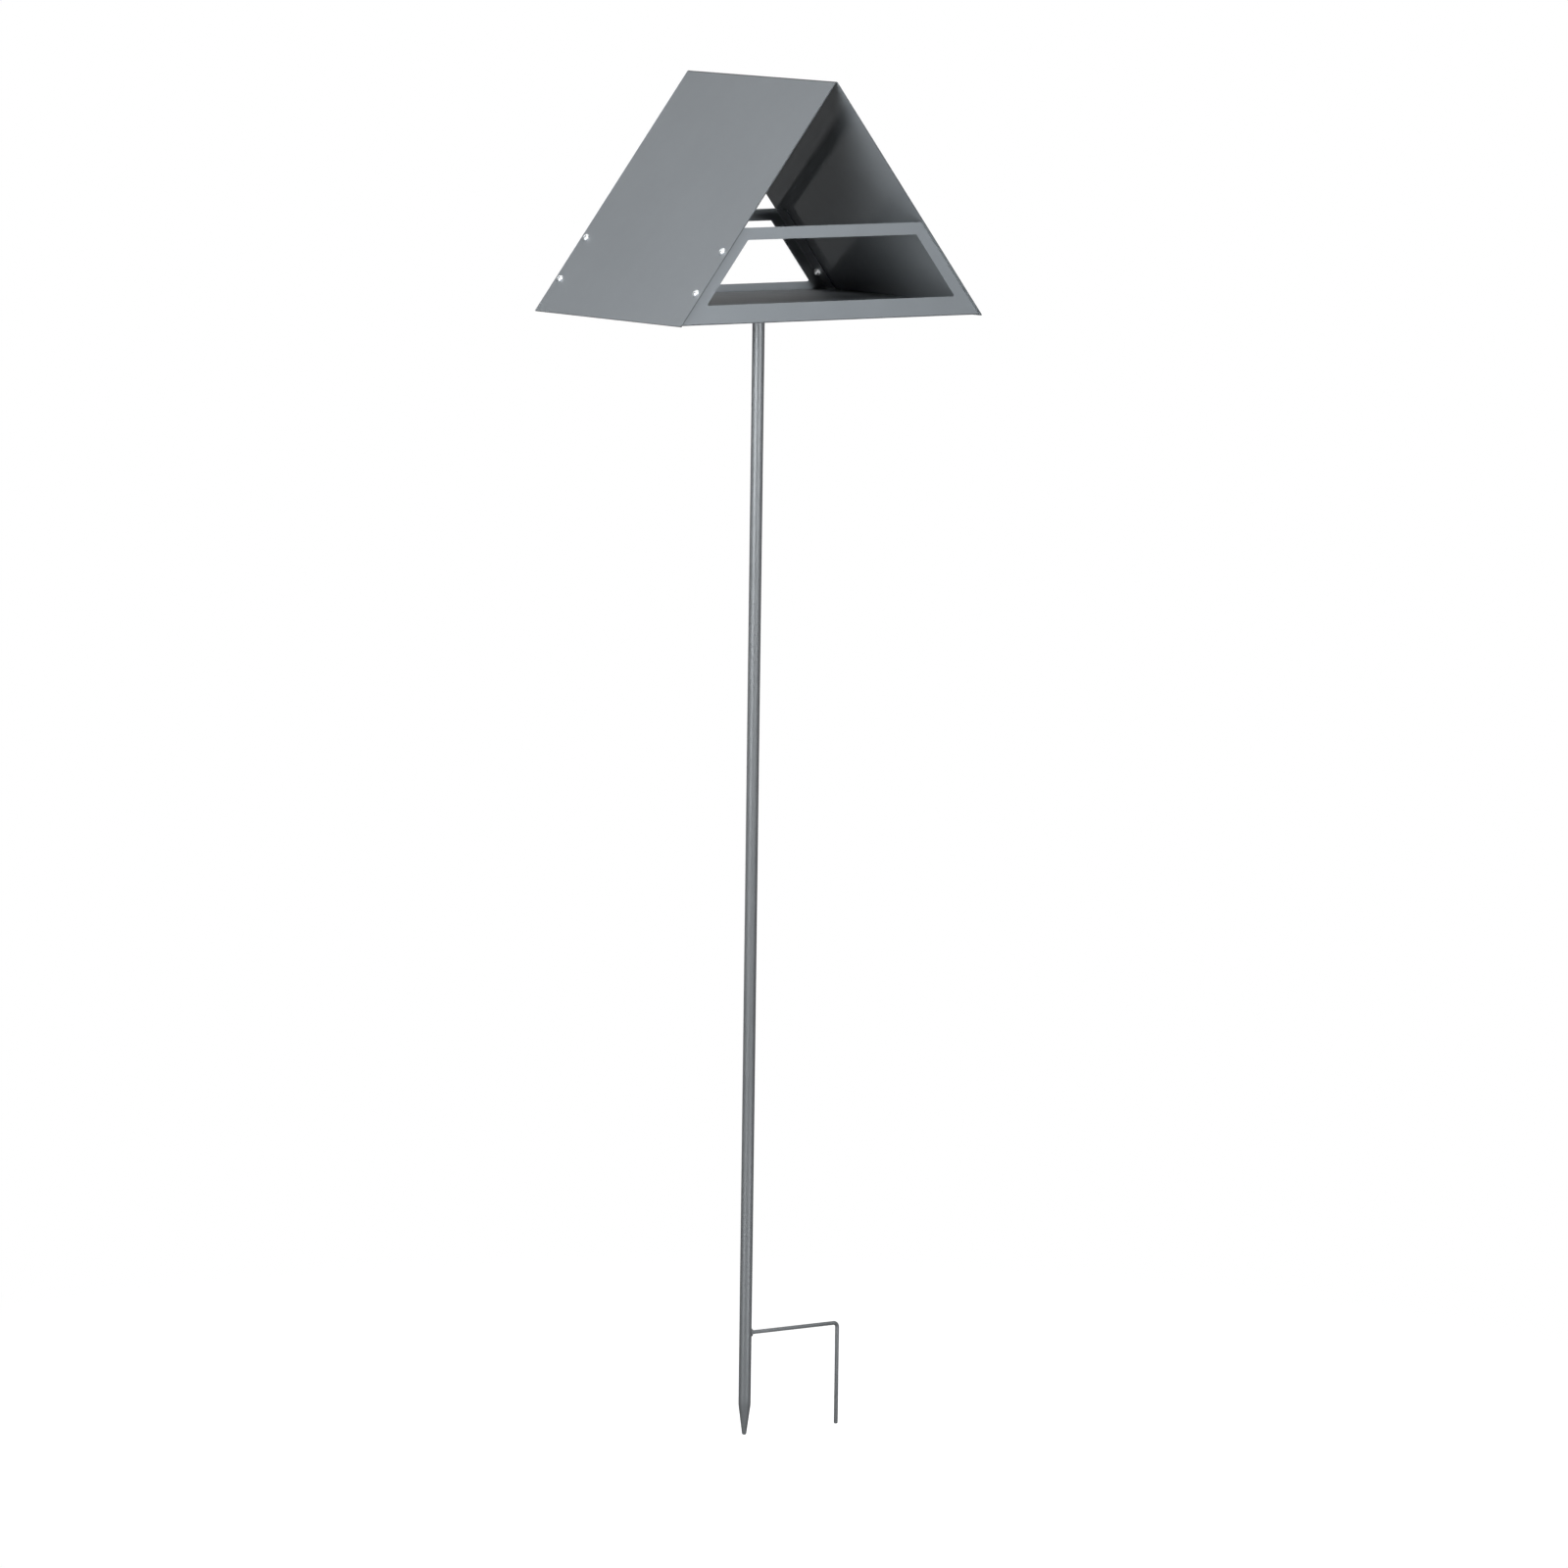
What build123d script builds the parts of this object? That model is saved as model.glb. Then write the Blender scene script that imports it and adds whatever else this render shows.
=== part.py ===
"""A tent-shaped bird feeder of folded sheet steel, carried on a pointed garden stake.

The frame stands on the flat end of the stake's point: +Z runs up the stake, +X along the
feeder's front, and the front window looks towards -Y.  All sizes are in millimetres.
"""

import os
from math import hypot

from build123d import *

# House, over the outside of its roof sheet
house_width = 300.0
house_depth = 200.0
house_height = 191.5
eaves_height = 917.0

# Sheet metal
sheet = 1.0
bend_radius = 1.0

# Window frames, closing the lower part of both gable ends
frame_lift = 0.2
frame_setback = 1.8
bottom_rail = 15.4
window_height = 50.9
top_rail = 9.0
stile = 10.2
flange = 14.0
window_corner = 1.0

# Floor pan, turned down on all four sides
floor_skirt = 9.2
fit_gap = 0.2

# Screw holes that join the roof sheet to the frames' flanges
screw_hole = 3.4
screw_inset = 7.0
screw_rise = 32.0
screw_pitch = 41.0

# Stake and the plate on its top
stake_diameter = 10.0
point_length = 25.0
tip_diameter = 3.3
plate_side = 60.0
plate_corner = 6.0
plate_thickness = 2.0

# Foot rod, welded to the stake's side and bent down beside its point
rod_diameter = 3.2
rod_height = 84.0
rod_reach = 93.4
rod_bend = 3.6
weld_gap = 0.1

# One overrun serves every cut
overrun = 5.0

# Roof slope: how far it runs in and how far it climbs for each length along it
half_width = house_width / 2
half_depth = house_depth / 2
slope_length = hypot(half_width, house_height)
run_share = half_width / slope_length
rise_share = house_height / slope_length

# Heights of the folded pieces above the roof's lower edges
window_bottom = frame_lift + bottom_rail
window_top = window_bottom + window_height
frame_top = window_top + top_rail
floor_top = frame_lift + floor_skirt

# Seats shared by neighbouring pieces
outer_bend = bend_radius + sheet
flange_end = half_depth - frame_setback - flange
frame_inside = half_depth - frame_setback - sheet
plate_top = eaves_height + floor_top - sheet
stake_top = plate_top - plate_thickness
stake_radius = stake_diameter / 2


def slope_point(side: int, along: float, inset: float) -> tuple[float, float]:
    """Give (x, z) at a length up one roof slope and a depth below its outer face."""
    x = half_width - along * run_share - inset * rise_share
    z = eaves_height + along * rise_share - inset * run_share
    return side * x, z


def half_span(height: float, inset: float) -> float:
    """Give half the width between the slopes at a height above the eaves and a depth below them."""
    return half_width - (height * run_share + inset) / rise_share


def tent_slice(low: float, high: float, inset: float, near: float, far: float) -> Part:
    """Make the block between the two slopes from one height to another and one depth to another."""
    wide = half_span(low, inset)
    narrow = half_span(high, inset)
    base = eaves_height + low
    head = eaves_height + high
    outline = Polyline((-wide, base), (wide, base), (narrow, head), (-narrow, head), close=True)
    section = Plane.XZ.offset(-near) * make_face(outline)
    return extrude(section, far - near, dir=(0, 1, 0))


def screw_holes() -> Part:
    """Make the clearance holes: two up each slope beside the front and back edges."""
    reach = sheet + overrun
    holes = []
    for side in (-1, 1):
        for end in (-1, 1):
            for step in range(2):
                x, z = slope_point(side, screw_rise + step * screw_pitch, sheet)
                seat = Plane((x, end * (half_depth - screw_inset), z), z_dir=(side * rise_share, 0, run_share))
                holes.append(seat * Cylinder(screw_hole / 2, 2 * reach))
    return Part() + holes


def make_roof() -> Part:
    """Fold the roof sheet over the ridge, with both gable ends open."""
    ridge = (0, eaves_height + house_height)
    under_ridge = (0, eaves_height + house_height - sheet / run_share)
    outside = FilletPolyline(slope_point(-1, 0, 0), ridge, slope_point(1, 0, 0), radius=outer_bend)
    inside = FilletPolyline(
        slope_point(-1, 0, sheet), under_ridge, slope_point(1, 0, sheet), radius=bend_radius
    )
    left_edge = Line(outside @ 0, inside @ 0)
    right_edge = Line(outside @ 1, inside @ 1)
    section = make_face(outside.edges() + inside.edges() + left_edge.edges() + right_edge.edges())
    folded = extrude(Plane.XZ.offset(half_depth) * section, house_depth, dir=(0, 1, 0))
    return folded - screw_holes()


def make_front_frame() -> Part:
    """Fold the front frame: a pierced face and two flanges that lie inside the roof slopes."""
    front = frame_setback - half_depth
    body = tent_slice(frame_lift, frame_top, sheet, front, front + flange)
    body = fillet(body.faces().sort_by(Axis.Y)[0].edges().filter_by(Axis.X, reverse=True), outer_bend)
    hollow = tent_slice(
        frame_lift - overrun, frame_top + overrun, 2 * sheet, front + sheet, front + flange + overrun
    )
    hollow = fillet(hollow.faces().sort_by(Axis.Y)[0].edges().filter_by(Axis.X, reverse=True), bend_radius)
    window = tent_slice(
        window_bottom, window_top, sheet + stile, front - overrun, front + sheet + overrun
    )
    window = fillet(window.edges().filter_by(Axis.Y), window_corner)
    return body - hollow - window - screw_holes()


def make_floor() -> Part:
    """Fold the floor pan, its corners cut back to clear the frames' flanges."""
    pan = tent_slice(frame_lift, floor_top, sheet, -frame_inside, frame_inside)
    pan = fillet(pan.faces().sort_by(Axis.Z)[-1].edges(), outer_bend)
    hollow = tent_slice(
        frame_lift - overrun, floor_top - sheet, 2 * sheet, sheet - frame_inside, frame_inside - sheet
    )
    hollow = fillet(hollow.faces().sort_by(Axis.Z)[-1].edges(), bend_radius)
    low = frame_lift - overrun
    high = floor_top + overrun
    between_flanges = tent_slice(low, high, 0, fit_gap - flange_end, flange_end - fit_gap)
    flange_clear = 2 * sheet + bend_radius + fit_gap
    between_faces = tent_slice(low, high, flange_clear, -half_depth, half_depth)
    return (pan - hollow) & (between_flanges + between_faces)


def make_plate() -> Part:
    """Cut the square plate under the floor that is welded to the stake's top."""
    outline = RectangleRounded(plate_side, plate_side, plate_corner)
    return extrude(Pos(0, 0, stake_top) * outline, plate_thickness)


def make_stake() -> Part:
    """Turn the round stake, with a blunt cone for its point."""
    outline = Polyline(
        (0, 0),
        (tip_diameter / 2, 0),
        (stake_radius, point_length),
        (stake_radius, stake_top),
        (0, stake_top),
        close=True,
    )
    return revolve(Plane.XZ * make_face(outline), Axis.Z)


def make_foot_rod() -> Part:
    """Bend the foot rod out of the stake's side and down to the level of its tip."""
    path = Plane.XZ * FilletPolyline((0, rod_height), (rod_reach, rod_height), (rod_reach, 0), radius=rod_bend)
    rod = sweep(Plane((0, 0, rod_height), z_dir=(1, 0, 0)) * Circle(rod_diameter / 2), path=path)
    seat = Pos(0, 0, rod_height) * Cylinder(stake_radius + weld_gap, rod_diameter + overrun)
    return rod - seat


def main() -> None:
    """Build every piece and write each to its own file."""
    front_frame = make_front_frame()
    pieces = {
        "roof_sheet": make_roof(),
        "front_frame": front_frame,
        "back_frame": mirror(front_frame, about=Plane.XZ),
        "floor_pan": make_floor(),
        "stake_plate": make_plate(),
        "stake": make_stake(),
        "foot_rod": make_foot_rod(),
    }
    os.makedirs("parts", exist_ok=True)
    for name, piece in pieces.items():
        export_step(piece, f"parts/{name}.step")


if __name__ == "__main__":
    main()
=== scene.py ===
"""Looks of a tent-shaped bird feeder of folded sheet steel on a garden stake.

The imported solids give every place.  This script rounds the coated edges of the sheets, presses the
frames' bends tighter, turns the stake, bends the foot rod, sets the screws and nuts, lays the weld
beads, and adds the finishes, the light and the camera.  Lengths are in metres and angles in degrees,
and a size without a unit is a share of the size that it goes with.
"""

import logging
import math
from dataclasses import dataclass
from enum import Enum

import bmesh
import bpy
from mathutils import Matrix, Vector


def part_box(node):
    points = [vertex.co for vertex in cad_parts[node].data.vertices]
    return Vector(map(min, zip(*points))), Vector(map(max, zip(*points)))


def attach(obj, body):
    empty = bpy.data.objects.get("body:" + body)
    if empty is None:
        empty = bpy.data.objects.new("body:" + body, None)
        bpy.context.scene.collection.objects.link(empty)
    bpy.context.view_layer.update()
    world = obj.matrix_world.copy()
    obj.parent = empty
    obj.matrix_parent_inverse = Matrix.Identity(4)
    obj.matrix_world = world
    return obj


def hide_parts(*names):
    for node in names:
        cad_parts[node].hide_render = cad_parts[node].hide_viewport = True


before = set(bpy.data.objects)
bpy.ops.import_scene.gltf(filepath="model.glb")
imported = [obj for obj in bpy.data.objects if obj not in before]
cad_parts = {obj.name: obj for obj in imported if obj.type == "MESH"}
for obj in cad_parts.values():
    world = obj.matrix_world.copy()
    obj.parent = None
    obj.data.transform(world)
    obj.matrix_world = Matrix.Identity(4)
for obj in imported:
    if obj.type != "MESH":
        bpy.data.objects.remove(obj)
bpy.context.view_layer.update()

MM = 0.001
BODY = "root"
LOG = logging.getLogger("bird_feeder")

# Sizes that more than one piece shares
EAVES = 917.0 * MM
HOUSE_HEIGHT = 191.5 * MM
STAKE_DIAMETER = 10.0 * MM

# Spread of a lamp that has no grid
OPEN_SPREAD = 180.0

Colour = tuple[float, float, float]
Profile = list[tuple[float, float]]


class Slot(Enum):
    """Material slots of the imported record."""

    HOUSE = "house_coat"
    STAKE = "stake_coat"
    ZINC = "zinc"


class Side(Enum):
    """Whether a node tree's socket goes in or out."""

    INPUT = "INPUT"
    OUTPUT = "OUTPUT"


class Cut(Enum):
    """Ways in which one mesh can shape another."""

    REMOVE = "DIFFERENCE"
    SHARE = "INTERSECT"


@dataclass(frozen=True)
class Graph:
    """One node tree, with a short way to add and join its nodes."""

    tree: bpy.types.NodeTree

    def socket(self, name: str, side: Side, kind: str, value: object = None) -> None:
        """Give the tree a named socket.

        Args:
            name: label of the socket.
            side: whether the socket goes in or out.
            kind: Blender's name for the socket's type.
            value: starting value of an input.
        """
        made = self.tree.interface.new_socket(name, in_out=side.value, socket_type=kind)
        if value is not None:
            made.default_value = value

    def add(self, kind: str, inputs: dict | None = None, **settings: object) -> bpy.types.Node:
        """Add a node.

        Args:
            kind: Blender's name for the node's type.
            inputs: values or sockets for the node's inputs, by name or number.
            settings: the node's own properties.

        Returns:
            The new node.
        """
        node = self.tree.nodes.new(kind)
        for key, value in settings.items():
            setattr(node, key, value)
        for key, value in (inputs or {}).items():
            if isinstance(value, bpy.types.NodeSocket):
                self.tree.links.new(value, node.inputs[key])
            else:
                node.inputs[key].default_value = value
        return node

    def math(self, operation: str, first: object, second: object = 0.0) -> bpy.types.NodeSocket:
        """Add a Math node and give its result."""
        return self.add("ShaderNodeMath", {0: first, 1: second}, operation=operation).outputs[0]


def link_object(name: str, mesh: bpy.types.Mesh) -> bpy.types.Object:
    """Put a mesh in the scene.

    Args:
        name: name of the object.
        mesh: its mesh.

    Returns:
        The object.
    """
    made = bpy.data.objects.new(name, mesh)
    bpy.context.scene.collection.objects.link(made)
    return made


def mesh_of(name: str, shape: bmesh.types.BMesh, merge: float = 0.001 * MM) -> bpy.types.Mesh:
    """Turn a finished bmesh into a mesh and free it.

    Args:
        name: name of the mesh.
        shape: the bmesh, whose faces are turned outwards first.
        merge: distance within which points become one.

    Returns:
        The mesh.
    """
    bmesh.ops.remove_doubles(shape, verts=shape.verts, dist=merge)
    bmesh.ops.recalc_face_normals(shape, faces=shape.faces)
    mesh = bpy.data.meshes.new(name)
    shape.to_mesh(mesh)
    shape.free()
    return mesh


def evaluated_mesh(source: bpy.types.Object) -> bpy.types.Mesh:
    """Turn an object with its modifiers into a plain mesh and remove the object.

    Args:
        source: the object to evaluate.

    Returns:
        A mesh of its own, with the modifiers applied.
    """
    view = bpy.context.evaluated_depsgraph_get()
    mesh = bpy.data.meshes.new_from_object(source.evaluated_get(view), depsgraph=view)
    old = source.data
    bpy.data.objects.remove(source)
    bpy.data.meshes.remove(old)
    return mesh


def round_edges(carrier: bpy.types.Object, width: float, steps: int, angle: float) -> None:
    """Give an object a live bevel on its sharp edges.

    Args:
        carrier: the object.
        width: width of the bevel.
        steps: number of faces across it.
        angle: angle past which an edge is sharp.
    """
    bevel = carrier.modifiers.new("round", "BEVEL")
    bevel.width = width
    bevel.segments = steps
    bevel.limit_method = "ANGLE"
    bevel.angle_limit = math.radians(angle)


def shade(mesh: bpy.types.Mesh, crease: float) -> None:
    """Smooth a mesh, with edges sharper than the crease angle left sharp."""
    mesh.shade_smooth()
    mesh.set_sharp_from_angle(angle=math.radians(crease))


def revolve(name: str, profile: Profile, segments: int) -> bpy.types.Mesh:
    """Turn a profile about the Z axis.

    Args:
        name: name of the mesh.
        profile: radius and height of each point, from one pole to the other.
        segments: number of sides.

    Returns:
        The closed mesh.
    """
    shape = bmesh.new()
    rings = []
    for radius, height in profile:
        count = segments if radius > 0 else 1
        turns = [2 * math.pi * step / segments for step in range(count)]
        ring = [shape.verts.new((radius * math.cos(t), radius * math.sin(t), height)) for t in turns]
        rings.append(ring)
    for lower, upper in zip(rings, rings[1:]):
        for step in range(segments):
            after = (step + 1) % segments
            corners = [lower[step % len(lower)], lower[after % len(lower)]]
            corners += [upper[after % len(upper)], upper[step % len(upper)]]
            face = list(dict.fromkeys(corners))
            if len(face) > 2:
                shape.faces.new(face)
    return mesh_of(name, shape)


def prism(name: str, outline: Profile, foot: float, head: float, taper: float = 1.0) -> bpy.types.Mesh:
    """Raise a flat outline into a prism.

    Args:
        name: name of the mesh.
        outline: corners of the outline, in order.
        foot: height of the lower end.
        head: height of the upper end.
        taper: scale of the lower end.

    Returns:
        The closed mesh.
    """
    shape = bmesh.new()
    lower = [shape.verts.new((x * taper, y * taper, foot)) for x, y in outline]
    upper = [shape.verts.new((x, y, head)) for x, y in outline]
    shape.faces.new(lower)
    shape.faces.new(upper)
    for step in range(len(outline)):
        after = (step + 1) % len(outline)
        shape.faces.new([lower[step], lower[after], upper[after], upper[step]])
    return mesh_of(name, shape)


def combine(name: str, body: bpy.types.Mesh, tool: bpy.types.Mesh, cut: Cut) -> bpy.types.Mesh:
    """Cut one mesh with another, or keep what they share.

    Args:
        name: name of the result.
        body: the mesh that is cut, which is used up.
        tool: the mesh that cuts, which is used up.
        cut: what the tool does to the body.

    Returns:
        The resulting mesh.
    """
    kept = link_object(name, body)
    cutter = link_object(f"{name}_tool", tool)
    boolean = kept.modifiers.new("cut", "BOOLEAN")
    boolean.operation = cut.value
    boolean.object = cutter
    boolean.solver = "EXACT"
    result = evaluated_mesh(kept)
    bpy.data.objects.remove(cutter)
    bpy.data.meshes.remove(tool)
    result.name = name
    return result


def grow(
    name: str, seed: bpy.types.Mesh, tree: bpy.types.NodeTree, values: dict[str, object]
) -> bpy.types.Mesh:
    """Run a Geometry Nodes tree on a mesh and give the result as a plain mesh.

    Args:
        name: name of the result.
        seed: the mesh that the tree starts from, which is used up.
        tree: the tree.
        values: the tree's named inputs.

    Returns:
        The resulting mesh.
    """
    carrier = link_object(name, seed)
    modifier = carrier.modifiers.new("grow", "NODES")
    modifier.node_group = tree
    items = tree.interface.items_tree
    sockets = {item.name: item.identifier for item in items if item.item_type == "SOCKET"}
    for label, value in values.items():
        modifier[sockets[label]] = value
    result = evaluated_mesh(carrier)
    result.name = name
    return result


def new_material(name: str) -> tuple[bpy.types.Material, Graph]:
    """Make a material with an empty node tree.

    Args:
        name: name of the material.

    Returns:
        The material, and the graph of its tree.
    """
    made = bpy.data.materials.new(name)
    made.use_nodes = True
    graph = Graph(made.node_tree)
    graph.tree.nodes.clear()
    return made, graph


def coat_grain() -> bpy.types.NodeTree:
    """Make the group that gives a coat or a plating its unevenness, once.

    Returns:
        The group, with a slow tone, a fine peel and a gloss mask, each 0 to 1.
    """
    known = bpy.data.node_groups.get("coat_grain")
    if known:
        return known
    graph = Graph(bpy.data.node_groups.new("coat_grain", "ShaderNodeTree"))
    graph.socket("Vector", Side.INPUT, "NodeSocketVector")
    graph.socket("Tone Scale", Side.INPUT, "NodeSocketFloat", 9.0)
    graph.socket("Peel Scale", Side.INPUT, "NodeSocketFloat", 800.0)
    graph.socket("Gloss Scale", Side.INPUT, "NodeSocketFloat", 60.0)
    for label in ("Tone", "Peel", "Gloss"):
        graph.socket(label, Side.OUTPUT, "NodeSocketFloat")
    entry = graph.add("NodeGroupInput").outputs
    exits = graph.add("NodeGroupOutput").inputs
    details = {"Tone": 3.0, "Peel": 1.5, "Gloss": 2.0}
    # Noise that counts as 0 and as 1
    low = 0.3
    high = 0.7
    for label, detail in details.items():
        noise = graph.add(
            "ShaderNodeTexNoise",
            {"Vector": entry["Vector"], "Scale": entry[f"{label} Scale"], "Detail": detail},
        )
        spread = graph.add(
            "ShaderNodeMapRange", {"Value": noise.outputs["Fac"], "From Min": low, "From Max": high}
        )
        graph.tree.links.new(spread.outputs["Result"], exits[label])
    return graph.tree


@dataclass(frozen=True)
class PowderCoat:
    """Satin powder coat with some metal flake: fine orange peel, a slow drift of tone, and cut edges darkened
    partly for their thin coat and partly as painted shade of the seam beside them.
    """

    name: str
    colour: Colour
    roughness: float = 0.45
    flake: float = 0.3
    drift: float = 0.025
    # Cut edges darker by this factor: partly their thin coat, partly painted shade standing in for the
    # shadowed seam
    cut_edge_and_seam_shade_gain: float = 0.5
    gloss_drift: float = 0.03
    peel_scale: float = 750.0
    peel_depth: float = 0.03 * MM
    peel_strength: float = 0.5

    def tint(self, gain: float) -> tuple[float, float, float, float]:
        """Give the coat's colour, lighter or darker by a factor."""
        return (*(channel * gain for channel in self.colour), 1.0)

    def material(self) -> bpy.types.Material:
        """Make the coat's material, once.

        Returns:
            The material.
        """
        known = bpy.data.materials.get(self.name)
        if known:
            return known
        made, graph = new_material(self.name)
        place = graph.add("ShaderNodeTexCoord").outputs["Object"]
        grain = graph.add(
            "ShaderNodeGroup", {"Vector": place, "Peel Scale": self.peel_scale}, node_tree=coat_grain()
        ).outputs
        body = graph.add(
            "ShaderNodeMix",
            {0: grain["Tone"], 6: self.tint(1 - self.drift), 7: self.tint(1 + self.drift)},
            data_type="RGBA",
        )
        # Painted shade: faces marked as cut edges are darkened to stand in for the shadowed seam next to
        # them, as well as their thin coat
        edge = graph.add("ShaderNodeAttribute", attribute_name="cut_edge_and_seam_shade").outputs["Fac"]
        colour = graph.add(
            "ShaderNodeMix", {0: edge, 6: body.outputs[2], 7: self.tint(self.cut_edge_and_seam_shade_gain)}, data_type="RGBA"
        )
        gloss = graph.add(
            "ShaderNodeMapRange",
            {
                "Value": grain["Gloss"],
                "To Min": self.roughness - self.gloss_drift,
                "To Max": self.roughness + self.gloss_drift,
            },
        )
        bump = graph.add(
            "ShaderNodeBump",
            {"Height": grain["Peel"], "Strength": self.peel_strength, "Distance": self.peel_depth},
        )
        shader = graph.add(
            "ShaderNodeBsdfPrincipled",
            {
                "Base Color": colour.outputs[2],
                "Metallic": self.flake,
                "Roughness": gloss.outputs["Result"],
                "Normal": bump.outputs["Normal"],
            },
        )
        graph.add("ShaderNodeOutputMaterial", {"Surface": shader.outputs[0]})
        return made


@dataclass(frozen=True)
class ZincPlate:
    """Bright zinc plate: metal with a faint cloudiness and fine handling marks."""

    name: str
    colour: Colour
    roughness: float = 0.5
    cloud: float = 0.06
    cloud_scale: float = 500.0
    gloss_drift: float = 0.07
    gloss_scale: float = 900.0
    grain_scale: float = 2600.0
    grain_depth: float = 0.01 * MM
    grain_strength: float = 0.4

    def tint(self, gain: float) -> tuple[float, float, float, float]:
        """Give the plate's colour, lighter or darker by a factor."""
        return (*(min(channel * gain, 1.0) for channel in self.colour), 1.0)

    def material(self) -> bpy.types.Material:
        """Make the plate's material, once.

        Returns:
            The material.
        """
        known = bpy.data.materials.get(self.name)
        if known:
            return known
        made, graph = new_material(self.name)
        place = graph.add("ShaderNodeTexCoord").outputs["Object"]
        grain = graph.add(
            "ShaderNodeGroup",
            {
                "Vector": place,
                "Tone Scale": self.cloud_scale,
                "Peel Scale": self.grain_scale,
                "Gloss Scale": self.gloss_scale,
            },
            node_tree=coat_grain(),
        ).outputs
        colour = graph.add(
            "ShaderNodeMix",
            {0: grain["Tone"], 6: self.tint(1 - self.cloud), 7: self.tint(1 + self.cloud)},
            data_type="RGBA",
        )
        gloss = graph.add(
            "ShaderNodeMapRange",
            {
                "Value": grain["Gloss"],
                "To Min": self.roughness - self.gloss_drift,
                "To Max": self.roughness + self.gloss_drift,
            },
        )
        bump = graph.add(
            "ShaderNodeBump",
            {"Height": grain["Peel"], "Strength": self.grain_strength, "Distance": self.grain_depth},
        )
        shader = graph.add(
            "ShaderNodeBsdfPrincipled",
            {
                "Base Color": colour.outputs[2],
                "Metallic": 1.0,
                "Roughness": gloss.outputs["Result"],
                "Normal": bump.outputs["Normal"],
            },
        )
        graph.add("ShaderNodeOutputMaterial", {"Surface": shader.outputs[0]})
        return made


HOUSE_COAT = PowderCoat("house_powder_coat", (0.27, 0.28, 0.291))
STAKE_COAT = PowderCoat("stake_powder_coat", (0.225, 0.2265, 0.2295))
ZINC = ZincPlate("zinc_plate", (0.82, 0.83, 0.84))


def settle(piece: bpy.types.Object, slot: Slot, *nodes: str) -> bpy.types.Object:
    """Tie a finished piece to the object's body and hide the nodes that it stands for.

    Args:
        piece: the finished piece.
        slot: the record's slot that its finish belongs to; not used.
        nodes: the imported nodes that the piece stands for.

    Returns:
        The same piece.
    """
    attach(piece, BODY)
    if nodes:
        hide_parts(*nodes)
    LOG.info("%s: %d faces", piece.name, len(piece.data.polygons))
    return piece


@dataclass
class FoldedSheets:
    """The house's folded sheets and the stake's plate, with the coat rounding their cut edges."""

    eaves: float = EAVES
    house_height: float = HOUSE_HEIGHT
    sheet: float = 1.0 * MM
    bend: float = 2.0 * MM
    shown_bend: float = 0.7 * MM
    bend_slack: float = 0.02 * MM
    edge_round: float = 0.22 * MM
    edge_steps: int = 2
    edge_reach: float = 1.2
    sharp_angle: float = 40.0
    flat_angle: float = 0.05
    merge: float = 0.002 * MM
    normal_weight: int = 100

    def build(self) -> None:
        """Make a rounded copy of every sheet node."""
        for node in ("roof_sheet", "front_frame", "back_frame", "floor_pan"):
            self.coated_copy(node, HOUSE_COAT, Slot.HOUSE)
        self.coated_copy("stake_plate", STAKE_COAT, Slot.STAKE)

    def press_bends(self, shape: bmesh.types.BMesh, node: str) -> None:
        """Press the outside of a frame's two long bends to a tighter radius.

        Args:
            shape: the frame's merged mesh.
            node: name of the frame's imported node.
        """
        low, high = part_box(node)
        face = low.y if node == "front_frame" else high.y
        inward = -1.0 if face > 0 else 1.0
        half_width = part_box("roof_sheet")[1].x
        slope = math.hypot(half_width, self.house_height)
        rise = self.house_height / slope
        run = half_width / slope
        share = self.shown_bend / self.bend
        for vert in shape.verts:
            side = math.copysign(1.0, vert.co.x)
            # Depth under the roof sheet, and behind the window's face
            under = rise * (half_width - abs(vert.co.x)) - run * (vert.co.z - self.eaves) - self.sheet
            behind = inward * (vert.co.y - face)
            # Only points on the bend's outer round move
            if max(under, behind) > self.bend + self.bend_slack:
                continue
            if abs(math.hypot(self.bend - under, self.bend - behind) - self.bend) > self.bend_slack:
                continue
            shift = under * (share - 1.0)
            vert.co += Vector((-side * rise * shift, inward * behind * (share - 1.0), -run * shift))

    def coated_copy(self, node: str, coat: PowderCoat, slot: Slot) -> bpy.types.Object:
        """Copy a node's mesh, merge it, and round its edges.

        Args:
            node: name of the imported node.
            coat: the finish.
            slot: the record's slot.

        Returns:
            The finished piece.
        """
        shape = bmesh.new()
        shape.from_mesh(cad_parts[node].data)
        bmesh.ops.remove_doubles(shape, verts=shape.verts, dist=self.merge)
        bmesh.ops.dissolve_limit(
            shape, angle_limit=math.radians(self.flat_angle), verts=shape.verts, edges=shape.edges
        )
        if node.endswith("_frame"):
            self.press_bends(shape, node)
        mesh = bpy.data.meshes.new(node)
        shape.to_mesh(mesh)
        shape.free()
        mesh.materials.clear()
        mesh.shade_smooth()
        carrier = link_object(f"{node}_carrier", mesh)
        round_edges(carrier, self.edge_round, self.edge_steps, self.sharp_angle)
        weighted = carrier.modifiers.new("normals", "WEIGHTED_NORMAL")
        weighted.weight = self.normal_weight
        rounded = evaluated_mesh(carrier)
        if node == "roof_sheet":
            self.mark_seam_shade_edges(rounded)
        rounded.materials.append(coat.material())
        return settle(link_object(f"{node}_coated", rounded), slot, node)

    def mark_seam_shade_edges(self, mesh: bpy.types.Mesh) -> None:
        """Mark the roof's cut front and back edges, which the finish darkens for their thin coat and as
        painted shade of the seam beside them.

        Args:
            mesh: the roof's rounded mesh.
        """
        # The marked faces carry painted shade of the seam between roof and frame
        layer = mesh.attributes.new("cut_edge_and_seam_shade", "FLOAT", "FACE")
        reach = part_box("roof_sheet")[1].y - self.edge_reach * self.edge_round
        for face in mesh.polygons:
            near = min(abs(mesh.vertices[corner].co.y) for corner in face.vertices)
            layer.data[face.index].value = 1.0 if near > reach else 0.0


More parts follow.
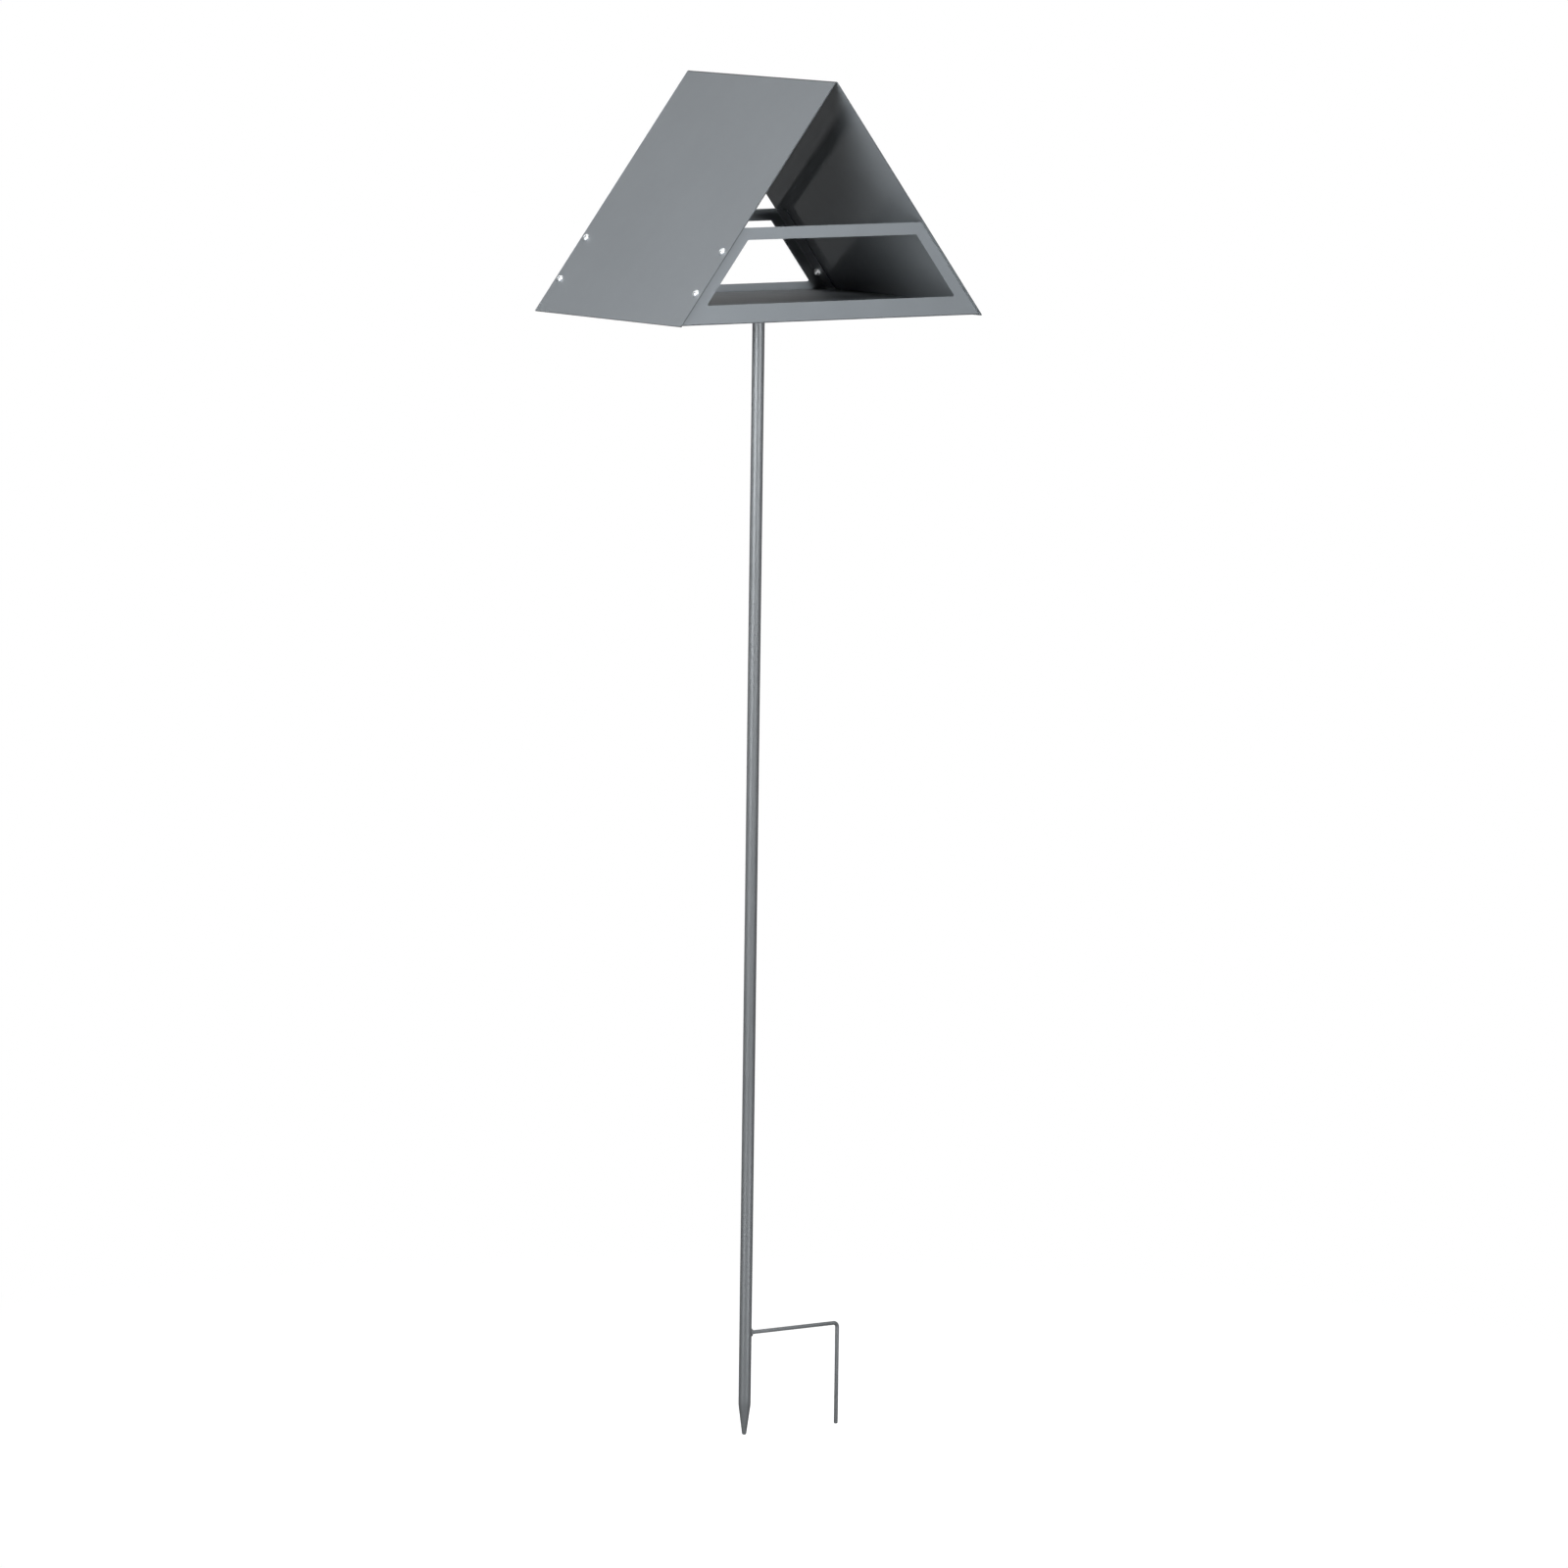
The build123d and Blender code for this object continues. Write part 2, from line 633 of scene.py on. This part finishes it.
@dataclass
class Stake:
    """Round bar with a turned point, softly blunted by its coat."""

    diameter: float = STAKE_DIAMETER
    point_length: float = 25.0 * MM
    tip_diameter: float = 3.3 * MM
    tip_round: float = 1.2 * MM
    tip_steps: int = 4
    cone_shares: tuple[float, ...] = (0.25, 0.5, 0.75)
    shoulder: float = 2.5 * MM
    courses: int = 24
    segments: int = 72
    crease: float = 35.0

    def profile(self) -> Profile:
        """Give the turned outline, from the tip up to the plate.

        Returns:
            Radius and height of each point.
        """
        bar = self.diameter / 2
        tip = self.tip_diameter / 2
        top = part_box("stake")[1].z
        fall = (bar - tip) / self.point_length
        points = [(0.0, 0.0)]
        for step in range(self.tip_steps + 1):
            turn = math.radians(90 * step / self.tip_steps)
            radius = tip - self.tip_round * (1 - math.sin(turn))
            points.append((radius + fall * self.tip_round, self.tip_round * (1 - math.cos(turn))))
        for share in self.cone_shares:
            points.append((tip + fall * self.point_length * share, self.point_length * share))
        # A parabola that leaves the cone and meets the bar without a crease
        for step in range(-2, 3):
            height = self.point_length + self.shoulder * step / 2
            dip = self.shoulder * fall * (1 - step / 2) ** 2 / 4
            points.append((bar - dip, height))
        foot = self.point_length + 2 * self.shoulder
        points += [(bar, foot + (top - foot) * step / self.courses) for step in range(self.courses + 1)]
        points.append((0.0, top))
        return points

    def build(self) -> bpy.types.Object:
        """Turn the stake.

        Returns:
            The finished piece.
        """
        mesh = revolve("stake", self.profile(), self.segments)
        shade(mesh, self.crease)
        mesh.materials.append(STAKE_COAT.material())
        return settle(link_object("stake_bar", mesh), Slot.STAKE, "stake")


def bent_rod_tree() -> bpy.types.NodeTree:
    """Make the tree that rounds the corners of a line and gives it a round section.

    Returns:
        The tree, with its sizes as named inputs.
    """
    graph = Graph(bpy.data.node_groups.new("bent_rod", "GeometryNodeTree"))
    graph.socket("Line", Side.INPUT, "NodeSocketGeometry")
    graph.socket("Diameter", Side.INPUT, "NodeSocketFloat", 3.2 * MM)
    graph.socket("Bend Radius", Side.INPUT, "NodeSocketFloat", 3.6 * MM)
    graph.socket("Bend Steps", Side.INPUT, "NodeSocketInt", 14)
    graph.socket("Sides", Side.INPUT, "NodeSocketInt", 40)
    graph.socket("Finish", Side.INPUT, "NodeSocketMaterial")
    graph.socket("Rod", Side.OUTPUT, "NodeSocketGeometry")
    entry = graph.add("NodeGroupInput").outputs
    line = graph.add("GeometryNodeMeshToCurve", {"Mesh": entry["Line"]})
    bent = graph.add(
        "GeometryNodeFilletCurve",
        {"Curve": line.outputs[0], "Count": entry["Bend Steps"], "Radius": entry["Bend Radius"]},
        mode="POLY",
    )
    radius = graph.math("MULTIPLY", entry["Diameter"], 0.5)
    section = graph.add("GeometryNodeCurvePrimitiveCircle", {"Resolution": entry["Sides"], "Radius": radius})
    swept = graph.add(
        "GeometryNodeCurveToMesh",
        {"Curve": bent.outputs[0], "Profile Curve": section.outputs["Curve"], "Fill Caps": True},
    )
    real = graph.add("GeometryNodeRealizeInstances", {"Geometry": swept.outputs[0]})
    dressed = graph.add(
        "GeometryNodeSetMaterial", {"Geometry": real.outputs[0], "Material": entry["Finish"]}
    )
    graph.add("NodeGroupOutput", {"Rod": dressed.outputs[0]})
    return graph.tree


def weld_tree() -> bpy.types.NodeTree:
    """Make the tree that lays a rippled weld bead along a closed line.

    Returns:
        The tree, with its sizes as named inputs.
    """
    graph = Graph(bpy.data.node_groups.new("weld_bead", "GeometryNodeTree"))
    graph.socket("Line", Side.INPUT, "NodeSocketGeometry")
    graph.socket("Bead Width", Side.INPUT, "NodeSocketFloat", 2.4 * MM)
    graph.socket("Ripples", Side.INPUT, "NodeSocketInt", 14)
    graph.socket("Ripple Share", Side.INPUT, "NodeSocketFloat", 0.14)
    graph.socket("Steps", Side.INPUT, "NodeSocketInt", 140)
    graph.socket("Sides", Side.INPUT, "NodeSocketInt", 20)
    graph.socket("Finish", Side.INPUT, "NodeSocketMaterial")
    graph.socket("Bead", Side.OUTPUT, "NodeSocketGeometry")
    entry = graph.add("NodeGroupInput").outputs
    line = graph.add("GeometryNodeMeshToCurve", {"Mesh": entry["Line"]})
    even = graph.add("GeometryNodeResampleCurve", {"Curve": line.outputs[0], "Count": entry["Steps"]})
    along = graph.add("GeometryNodeSplineParameter").outputs["Factor"]
    phase = graph.math("MULTIPLY", graph.math("MULTIPLY", along, entry["Ripples"]), math.pi)
    crest = graph.math("ABSOLUTE", graph.math("SINE", phase))
    valley = graph.math("MULTIPLY", graph.math("SUBTRACT", 1.0, crest), entry["Ripple Share"])
    swell = graph.math("SUBTRACT", 1.0, valley)
    radius = graph.math("MULTIPLY", entry["Bead Width"], 0.5)
    section = graph.add("GeometryNodeCurvePrimitiveCircle", {"Resolution": entry["Sides"], "Radius": radius})
    swept = graph.add(
        "GeometryNodeCurveToMesh",
        {"Curve": even.outputs[0], "Profile Curve": section.outputs["Curve"], "Scale": swell},
    )
    real = graph.add("GeometryNodeRealizeInstances", {"Geometry": swept.outputs[0]})
    dressed = graph.add(
        "GeometryNodeSetMaterial", {"Geometry": real.outputs[0], "Material": entry["Finish"]}
    )
    graph.add("NodeGroupOutput", {"Bead": dressed.outputs[0]})
    return graph.tree


def line_mesh(name: str, points: list[Vector], closed: bool) -> bpy.types.Mesh:
    """Make a mesh of edges through points.

    Args:
        name: name of the mesh.
        points: the points, in order.
        closed: whether the last point joins the first.

    Returns:
        The mesh.
    """
    edges = [(step, step + 1) for step in range(len(points) - 1)]
    if closed:
        edges.append((len(points) - 1, 0))
    mesh = bpy.data.meshes.new(name)
    mesh.from_pydata([tuple(point) for point in points], edges, [])
    return mesh


def lay_bead(
    name: str, points: list[Vector], width: float, ripples: int, crease: float = 60.0
) -> bpy.types.Object:
    """Lay a weld bead along a closed line.

    Args:
        name: name of the piece.
        points: the line's points, in order.
        width: width of the bead.
        ripples: number of its ripples.
        crease: angle past which an edge stays sharp.

    Returns:
        The finished piece.
    """
    values = {"Bead Width": width, "Ripples": ripples, "Finish": STAKE_COAT.material()}
    mesh = grow(name, line_mesh(f"{name}_line", points, True), weld_tree(), values)
    shade(mesh, crease)
    return settle(link_object(name, mesh), Slot.STAKE)


@dataclass
class FootRod:
    """Thin rod welded to the stake's side and bent down beside its point, with its weld bead."""

    diameter: float = 3.2 * MM
    arm_height: float = 84.0 * MM
    bend_radius: float = 3.6 * MM
    stake_diameter: float = STAKE_DIAMETER
    root_depth: float = 0.4 * MM
    end_round: float = 1.0 * MM
    end_steps: int = 3
    end_angle: float = 60.0
    crease: float = 50.0
    bead_width: float = 2.6 * MM
    bead_ripples: int = 12
    bead_ring: float = 0.25
    bead_lift: float = 0.1
    bead_points: int = 64

    def build(self) -> None:
        """Bend the rod and lay its weld."""
        self.rod()
        self.bead()

    def rod(self) -> bpy.types.Object:
        """Bend the rod along its line and round its cut end.

        Returns:
            The finished piece.
        """
        low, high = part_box("foot_rod")
        reach = high.x - self.diameter / 2
        root = Vector((self.stake_diameter / 2 - self.root_depth, 0.0, self.arm_height))
        line = [root, Vector((reach, 0.0, self.arm_height)), Vector((reach, 0.0, low.z))]
        values = {
            "Diameter": self.diameter,
            "Bend Radius": self.bend_radius,
            "Finish": STAKE_COAT.material(),
        }
        swept = grow("foot_rod", line_mesh("foot_rod_line", line, False), bent_rod_tree(), values)
        carrier = link_object("foot_rod_carrier", swept)
        round_edges(carrier, self.end_round, self.end_steps, self.end_angle)
        mesh = evaluated_mesh(carrier)
        shade(mesh, self.crease)
        return settle(link_object("foot_rod_bar", mesh), Slot.STAKE, "foot_rod")

    def bead(self) -> bpy.types.Object:
        """Lay the weld where the rod meets the stake's round side.

        Returns:
            The finished piece.
        """
        bar = self.stake_diameter / 2
        ring = self.diameter / 2 + self.bead_ring * self.bead_width
        points = []
        for step in range(self.bead_points):
            turn = 2 * math.pi * step / self.bead_points
            across = ring * math.cos(turn)
            out = math.sqrt(bar * bar - across * across) + self.bead_lift * self.bead_width
            points.append(Vector((out, across, self.arm_height + ring * math.sin(turn))))
        return lay_bead("foot_rod_weld", points, self.bead_width, self.bead_ripples)


@dataclass
class PlateWeld:
    """Fillet weld between the stake's top and the plate under the floor."""

    stake_diameter: float = STAKE_DIAMETER
    bead_width: float = 4.0 * MM
    bead_ripples: int = 20
    bead_shift: float = 0.2
    bead_points: int = 96

    def build(self) -> bpy.types.Object:
        """Lay the weld round the stake, under the plate.

        Returns:
            The finished piece.
        """
        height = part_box("stake")[1].z - self.bead_shift * self.bead_width
        ring = self.stake_diameter / 2 + self.bead_shift * self.bead_width
        turns = [2 * math.pi * step / self.bead_points for step in range(self.bead_points)]
        points = [Vector((ring * math.cos(t), ring * math.sin(t), height)) for t in turns]
        return lay_bead("plate_weld", points, self.bead_width, self.bead_ripples)


def fastener_tree() -> bpy.types.NodeTree:
    """Make the tree that sets one fastener in every hole of both roof slopes.

    Returns:
        The tree, with the holes' places as named inputs.
    """
    graph = Graph(bpy.data.node_groups.new("fastener_rows", "GeometryNodeTree"))
    graph.socket("Fastener", Side.INPUT, "NodeSocketObject")
    for label in ("Rise", "Pitch", "Row Reach", "Half Width", "Eaves", "Slope"):
        graph.socket(label, Side.INPUT, "NodeSocketFloat")
    graph.socket("Row Count", Side.INPUT, "NodeSocketInt", 2)
    graph.socket("Seed", Side.INPUT, "NodeSocketInt", 7)
    graph.socket("Finish", Side.INPUT, "NodeSocketMaterial")
    graph.socket("Rows", Side.OUTPUT, "NodeSocketGeometry")
    entry = graph.add("NodeGroupInput").outputs
    climb = graph.math("MULTIPLY", entry["Rise"], -1.0)
    stride = graph.add("ShaderNodeCombineXYZ", {"X": graph.math("MULTIPLY", entry["Pitch"], -1.0)})
    rows = graph.add("GeometryNodeJoinGeometry")
    for side in (-1.0, 1.0):
        reach = graph.math("MULTIPLY", entry["Row Reach"], side)
        start = graph.add("ShaderNodeCombineXYZ", {"X": climb, "Y": reach})
        row = graph.add(
            "GeometryNodeMeshLine",
            {"Count": entry["Row Count"], "Start Location": start.outputs[0], "Offset": stride.outputs[0]},
        )
        graph.tree.links.new(row.outputs[0], rows.inputs[0])
    turn = graph.add(
        "FunctionNodeRandomValue", {2: 0.0, 3: 2 * math.pi, "Seed": entry["Seed"]}, data_type="FLOAT"
    )
    twist = graph.add("ShaderNodeCombineXYZ", {"Z": turn.outputs[1]})
    turned = graph.add("FunctionNodeEulerToRotation", {0: twist.outputs[0]})
    shape = graph.add("GeometryNodeObjectInfo", {"Object": entry["Fastener"]})
    placed = graph.add(
        "GeometryNodeInstanceOnPoints",
        {"Points": rows.outputs[0], "Instance": shape.outputs["Geometry"], "Rotation": turned.outputs[0]},
    )
    eaves = graph.add("ShaderNodeCombineXYZ", {"X": entry["Half Width"], "Z": entry["Eaves"]})
    lean = graph.add("ShaderNodeCombineXYZ", {"Y": entry["Slope"]})
    leaned = graph.add("FunctionNodeEulerToRotation", {0: lean.outputs[0]})
    right = graph.add(
        "GeometryNodeTransform",
        {"Geometry": placed.outputs[0], "Translation": eaves.outputs[0], "Rotation": leaned.outputs[0]},
    )
    half_turn = graph.add("FunctionNodeEulerToRotation", {0: (0.0, 0.0, math.pi)})
    left = graph.add(
        "GeometryNodeTransform", {"Geometry": right.outputs[0], "Rotation": half_turn.outputs[0]}
    )
    both = graph.add("GeometryNodeJoinGeometry", {0: right.outputs[0]})
    graph.tree.links.new(left.outputs[0], both.inputs[0])
    real = graph.add("GeometryNodeRealizeInstances", {"Geometry": both.outputs[0]})
    dressed = graph.add(
        "GeometryNodeSetMaterial", {"Geometry": real.outputs[0], "Material": entry["Finish"]}
    )
    graph.add("NodeGroupOutput", {"Rows": dressed.outputs[0]})
    return graph.tree


@dataclass
class RoofFasteners:
    """Pan-head screws outside the roof and nuts on their ends inside the frames' flanges."""

    eaves: float = EAVES
    house_height: float = HOUSE_HEIGHT
    rise: float = 32.0 * MM
    pitch: float = 41.0 * MM
    edge_inset: float = 7.0 * MM
    row_count: int = 2
    grip: float = 2.0 * MM
    head_diameter: float = 6.0 * MM
    head_height: float = 2.2 * MM
    head_seat: float = 0.95
    recess_span: float = 3.3 * MM
    recess_width: float = 0.85 * MM
    recess_depth: float = 1.3 * MM
    recess_taper: float = 0.45
    shank_diameter: float = 3.0 * MM
    shank_length: float = 6.0 * MM
    thread_pitch: float = 0.5 * MM
    thread_depth: float = 0.27 * MM
    thread_crest: float = 0.1
    thread_root: float = 0.55
    nut_flats: float = 5.5 * MM
    nut_height: float = 2.4 * MM
    nut_chamfer: float = 0.4 * MM
    nut_face: float = 0.97
    nut_corner: float = 1.02
    nut_segments: int = 48
    bore_play: float = 1.02
    bore_flare: float = 0.25 * MM
    flare_depth: float = 0.3 * MM
    cut_past: float = 1.0 * MM
    segments: int = 28
    crease: float = 32.0
    screw_seed: int = 7
    nut_seed: int = 11

    def screw(self) -> bpy.types.Mesh:
        """Turn a pan-head screw, its head's seat at the origin and its shank down -Z.

        Returns:
            The screw's mesh, with a cross recess.
        """
        head = self.head_diameter / 2
        tall = self.head_height
        dome = [(0.0, 1.0), (0.3, 0.985), (0.58, 0.92), (0.8, 0.77), (0.93, 0.55), (0.995, 0.28), (1.0, 0.08)]
        points = [(head * across, tall * up) for across, up in dome]
        points.append((head * self.head_seat, 0.0))
        crest = self.shank_diameter / 2
        points.append((crest, 0.0))
        threads = int(self.shank_length / self.thread_pitch) - 1
        for step in range(threads):
            top = -self.thread_pitch * step
            points.append((crest, top - self.thread_crest * self.thread_pitch))
            points.append((crest - self.thread_depth, top - self.thread_root * self.thread_pitch))
        points.append((crest, -self.thread_pitch * threads))
        points.append((crest - self.thread_depth, -self.shank_length))
        points.append((0.0, -self.shank_length))
        body = revolve("screw", points, self.segments)
        span = self.recess_span / 2
        half = self.recess_width / 2
        cross = [(half, half), (half, span), (-half, span), (-half, half), (-span, half), (-span, -half)]
        cross += [(-half, -half), (-half, -span), (half, -span), (half, -half), (span, -half), (span, half)]
        cutter = prism("recess", cross, tall - self.recess_depth, tall + self.cut_past, self.recess_taper)
        return combine("screw", body, cutter, Cut.REMOVE)

    def nut(self) -> bpy.types.Mesh:
        """Make a chamfered hexagon nut, seated on the inside of the flange.

        Returns:
            The nut's mesh.
        """
        corner = self.nut_flats / math.sqrt(3)
        turns = [math.pi / 3 * step for step in range(6)]
        hexagon = [(corner * math.cos(t), corner * math.sin(t)) for t in turns]
        top = -self.grip
        foot = top - self.nut_height
        body = prism("nut", hexagon, foot, top)
        face = self.nut_flats / 2 * self.nut_face
        wide = corner * self.nut_corner
        rounder = [(0.0, foot), (face, foot), (wide, foot + self.nut_chamfer)]
        rounder += [(wide, top - self.nut_chamfer), (face, top), (0.0, top)]
        body = combine("nut", body, revolve("nut_round", rounder, self.nut_segments), Cut.SHARE)
        bore = self.shank_diameter / 2
        flare = bore + self.bore_flare
        loose = bore * self.bore_play
        below = foot - self.cut_past
        above = top + self.cut_past
        hole = [(0.0, below), (flare, below), (flare, foot), (loose, foot + self.flare_depth)]
        hole += [(loose, above), (0.0, above)]
        return combine("nut", body, revolve("nut_hole", hole, self.segments), Cut.REMOVE)

    def build(self) -> None:
        """Set the screws and the nuts in all the holes."""
        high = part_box("roof_sheet")[1]
        tree = fastener_tree()
        zinc = ZINC.material()
        values = {
            "Rise": self.rise,
            "Pitch": self.pitch,
            "Row Reach": high.y - self.edge_inset,
            "Row Count": self.row_count,
            "Half Width": high.x,
            "Eaves": self.eaves,
            "Slope": math.atan2(self.house_height, high.x),
            "Finish": zinc,
        }
        screws = ("roof_screws", self.screw(), self.screw_seed)
        nuts = ("roof_nuts", self.nut(), self.nut_seed)
        for name, shape, seed in (screws, nuts):
            shape.materials.append(zinc)
            pattern = link_object(f"{name}_pattern", shape)
            start = bpy.data.meshes.new(f"{name}_start")
            mesh = grow(name, start, tree, {**values, "Fastener": pattern, "Seed": seed})
            bpy.data.objects.remove(pattern)
            bpy.data.meshes.remove(shape)
            shade(mesh, self.crease)
            settle(link_object(name, mesh), Slot.ZINC)


class Light(Enum):
    """Colours that a lamp can have."""

    PLAIN = (1.0, 1.0, 1.0)
    COOL = (0.95, 1.005, 1.045)


@dataclass(frozen=True)
class SoftBox:
    """A square lamp that looks at the middle of the house, or at a point some way below it.

    A lamp with a narrow spread has a grid, which keeps its light near its axis.  A lamp with
    pieces of its own lights those alone.
    """

    name: str
    azimuth: float
    elevation: float
    distance: float
    size: float
    level: float
    light: Light = Light.PLAIN
    drop: float = 0.0
    spread: float = OPEN_SPREAD
    pieces: tuple[str, ...] = ()

    def build(self, target: Vector) -> bpy.types.Object:
        """Set the lamp, as bright as a white sheet facing it needs for its level.

        Args:
            target: middle of the house.

        Returns:
            The lamp.
        """
        turn = math.radians(self.azimuth)
        tilt = math.radians(self.elevation)
        back = Vector((math.sin(turn) * math.cos(tilt), -math.cos(turn) * math.cos(tilt), math.sin(tilt)))
        light = bpy.data.lights.new(self.name, "AREA")
        light.shape = "SQUARE"
        light.size = self.size
        light.spread = math.radians(self.spread)
        light.energy = self.level * math.pi**2 * self.distance**2 / self.gain()
        light.color = self.light.value
        lamp = bpy.data.objects.new(self.name, light)
        lamp.location = target + back * self.distance - Vector((0.0, 0.0, self.drop))
        lamp.rotation_mode = "QUATERNION"
        lamp.rotation_quaternion = (-back).to_track_quat("-Z", "Y")
        lamp.visible_camera = False
        if self.pieces:
            lamp.light_linking.receiver_collection = self.gather()
        bpy.context.scene.collection.objects.link(lamp)
        return lamp

    def gain(self) -> float:
        """Work out how much brighter the grid makes the lamp along its axis.

        Returns:
            The factor, which is 1 for a lamp without a grid.
        """
        if self.spread >= OPEN_SPREAD:
            return 1.0
        half = math.radians(self.spread / 2)
        return math.tan(half) / (math.tan(half) - half)

    def gather(self) -> bpy.types.Collection:
        """Collect the pieces that the lamp lights.

        Returns:
            A collection of them.
        """
        lit = bpy.data.collections.new(f"{self.name}_lit")
        for piece in self.pieces:
            lit.objects.link(bpy.data.objects[piece])
        return lit


@dataclass
class Studio:
    """White surroundings, a pale floor and soft lamps round the house."""

    ambient: float = 0.004
    mirrored: float = 0.12
    floor_half: float = 6.0
    shadow_reach: float = 0.9
    shadow_core: float = 0.3
    floor_glow: float = 0.86
    floor_colour: float = 0.4
    floor_bounce: float = 0.1
    # Azimuth, elevation, distance, size and level of every lamp, in this order
    lamps: tuple[SoftBox, ...] = (
        SoftBox("left_box", -71.0, -3.0, 1.5, 0.75, 1.0, Light.COOL, spread=90.0),
        SoftBox("left_high_box", -75.0, 12.0, 2.2, 0.8, 0.3, Light.COOL),
        SoftBox("front_box", 3.0, -0.5, 1.7, 0.06, 0.58, Light.COOL, spread=110.0),
        SoftBox("key_box", -16.0, 28.0, 3.0, 0.15, 0.2, Light.COOL),
        SoftBox("high_box", -120.0, 65.0, 2.6, 0.8, 0.28),
        SoftBox("back_box", 120.0, 65.0, 2.6, 0.8, 0.3),
        SoftBox("rear_box", 160.0, 14.0, 2.6, 0.6, 0.24),
        SoftBox("low_box", 184.0, -25.5, 1.85, 0.05, 0.03),
        SoftBox("stake_left_box", -80.0, 0.0, 0.4, 0.15, 0.2, Light.COOL, drop=0.93),
        SoftBox("stake_right_box", 8.0, 0.0, 0.4, 0.15, 0.28, Light.COOL, drop=0.93),
        SoftBox("zinc_box", -33.0, 20.0, 2.4, 0.5, 1.0, pieces=("roof_screws", "roof_nuts")),
    )

    def build(self) -> None:
        """Set the surroundings, the floor and the lamps."""
        self.surroundings()
        self.floor()
        low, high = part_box("roof_sheet")
        target = (low + high) / 2
        for lamp in self.lamps:
            lamp.build(target)
        bpy.context.scene.view_settings.view_transform = "Standard"

    def seen(self, graph: Graph) -> bpy.types.NodeSocket:
        """Give 1 for the rays that show the background, straight or through glass, and 0 for the rest."""
        path = graph.add("ShaderNodeLightPath").outputs
        return graph.math("MAXIMUM", path["Is Camera Ray"], path["Is Transmission Ray"])

    def surroundings(self) -> None:
        """Make the world white to look at, grey in reflections, and dim as a light."""
        world = bpy.data.worlds.new("white_room")
        bpy.context.scene.world = world
        world.use_nodes = True
        graph = Graph(world.node_tree)
        graph.tree.nodes.clear()
        glossy = graph.add("ShaderNodeLightPath").outputs["Is Glossy Ray"]
        around = graph.add(
            "ShaderNodeMapRange", {"Value": glossy, "To Min": self.ambient, "To Max": self.mirrored}
        )
        strength = graph.add(
            "ShaderNodeMapRange",
            {"Value": self.seen(graph), "To Min": around.outputs["Result"], "To Max": 1.0},
        )
        white = graph.add(
            "ShaderNodeBackground", {"Color": (1.0, 1.0, 1.0, 1.0), "Strength": strength.outputs["Result"]}
        )
        graph.add("ShaderNodeOutputWorld", {"Surface": white.outputs[0]})

    def floor(self) -> bpy.types.Object:
        """Lay the floor: white, with the object's own soft shadow round its foot.

        Returns:
            The floor.
        """
        reach = self.floor_half
        corners = [(-reach, -reach, 0.0), (reach, -reach, 0.0), (reach, reach, 0.0), (-reach, reach, 0.0)]
        mesh = bpy.data.meshes.new("floor")
        mesh.from_pydata(corners, [], [(0, 1, 2, 3)])
        made, graph = new_material("floor_paper")
        place = graph.add("ShaderNodeTexCoord").outputs["Object"]
        far = graph.add("ShaderNodeVectorMath", {0: place}, operation="LENGTH").outputs["Value"]
        away = graph.add(
            "ShaderNodeMapRange",
            {"Value": far, "From Min": self.shadow_core * self.shadow_reach, "From Max": self.shadow_reach},
            interpolation_type="SMOOTHSTEP",
        ).outputs["Result"]
        tone = graph.add(
            "ShaderNodeMapRange",
            {"Value": self.seen(graph), "To Min": self.floor_bounce, "To Max": self.floor_colour},
        )
        paper = graph.add("ShaderNodeBsdfDiffuse", {"Color": tone.outputs["Result"]})
        glow = graph.add(
            "ShaderNodeEmission", {"Strength": graph.math("MULTIPLY", self.seen(graph), self.floor_glow)}
        )
        white = graph.add("ShaderNodeEmission", {"Strength": self.seen(graph)})
        near = graph.add("ShaderNodeAddShader", {0: paper.outputs[0], 1: glow.outputs[0]})
        blend = graph.math("MULTIPLY", away, self.seen(graph))
        surface = graph.add("ShaderNodeMixShader", {0: blend, 1: near.outputs[0], 2: white.outputs[0]})
        graph.add("ShaderNodeOutputMaterial", {"Surface": surface.outputs[0]})
        mesh.materials.append(made)
        floor = link_object("floor", mesh)
        return floor


@dataclass
class PhotoCamera:
    """Long lens eight metres away, off the house's front left corner, looking slightly down."""

    eaves: float = EAVES
    yaw: float = 36.594
    pitch: float = 6.747
    roll: float = 0.768
    distance: float = 8.0515
    aim_right: float = 20.38 * MM
    aim_up: float = -379.68 * MM
    lens: float = 229.52
    sensor: float = 36.0

    def build(self) -> bpy.types.Object:
        """Set the camera.

        Returns:
            The camera.
        """
        turn, tip, lean = (math.radians(angle) for angle in (self.yaw, self.pitch, self.roll))
        ahead = Vector((math.sin(turn) * math.cos(tip), math.cos(turn) * math.cos(tip), -math.sin(tip)))
        level = Vector((math.cos(turn), -math.sin(turn), 0.0))
        above = level.cross(ahead)
        right = math.cos(lean) * level + math.sin(lean) * above
        up = -math.sin(lean) * level + math.cos(lean) * above
        aim = Vector((0.0, 0.0, self.eaves)) + right * self.aim_right + up * self.aim_up
        data = bpy.data.cameras.new("photo_camera")
        data.lens = self.lens
        data.sensor_width = self.sensor
        camera = bpy.data.objects.new("photo_camera", data)
        pose = Matrix((right, up, -ahead)).transposed().to_4x4()
        pose.translation = aim - ahead * self.distance
        camera.matrix_world = pose
        bpy.context.scene.collection.objects.link(camera)
        bpy.context.scene.camera = camera
        return camera


def main() -> None:
    """Build the camera, the pieces and the studio in order."""
    logging.basicConfig(level=logging.INFO, format="%(message)s")
    PhotoCamera().build()
    FoldedSheets().build()
    Stake().build()
    FootRod().build()
    PlateWeld().build()
    RoofFasteners().build()
    Studio().build()


if __name__ == "__main__":
    main()
